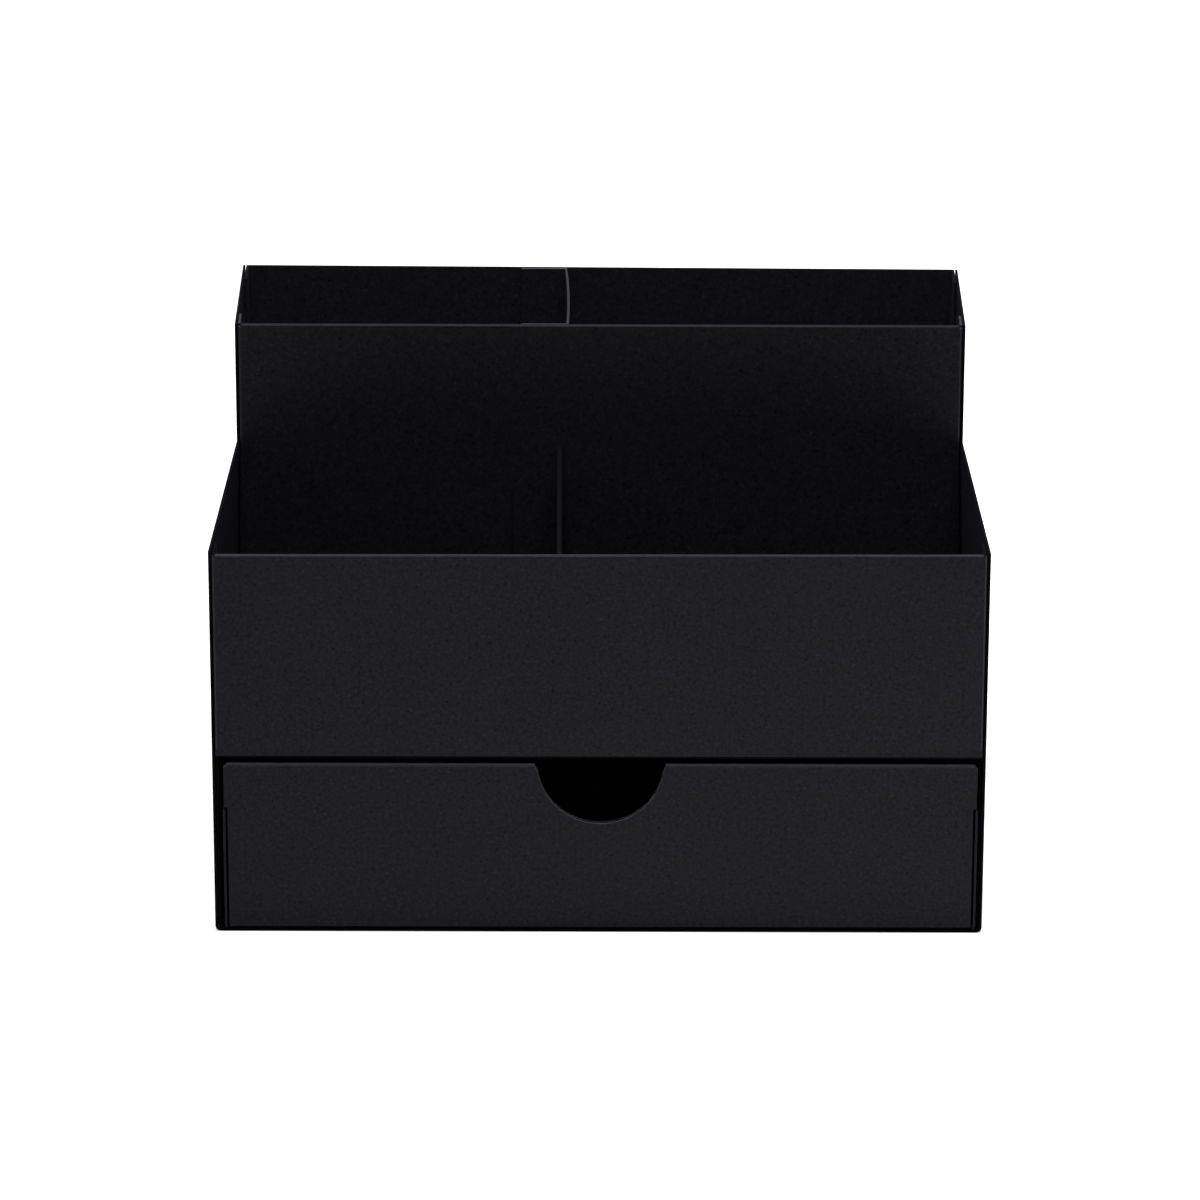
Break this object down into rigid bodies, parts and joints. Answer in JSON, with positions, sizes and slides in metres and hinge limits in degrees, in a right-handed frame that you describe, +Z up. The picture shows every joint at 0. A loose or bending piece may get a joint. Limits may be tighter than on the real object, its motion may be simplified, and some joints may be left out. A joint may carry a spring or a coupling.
{
  "type": "makeup organizer",
  "caption": "Stepped desk organizer of folded matt black paperboard, with two tiers of open compartments over a shallow slide-out drawer.",
  "frame": {"origin": "middle of the resting face, at the bottom", "axes": "+X to the right, +Y to the back, +Z up; the drawer opens towards -Y"},
  "size_m": [0.25, 0.198, 0.1715],
  "materials": {
    "black_board": "matt black laminated paperboard",
    "black_drawer_board": "matt black laminated paperboard"
  },
  "bodies": {
    "organizer_body": {"outer_casing": "black_board", "compartment_floor": "black_board", "front_panel": "black_board", "middle_wall": "black_board", "back_panel": "black_board", "rear_divider": "black_board", "front_divider": "black_board"},
    "drawer": {"drawer_tray": "black_drawer_board", "drawer_front": "black_drawer_board"}
  },
  "joints": [
    {"name": "drawer_slide", "type": "slide", "parent": "organizer_body", "child": "drawer", "axis": [0, -1, 0], "range_m": [0, 0.16]}
  ]
}
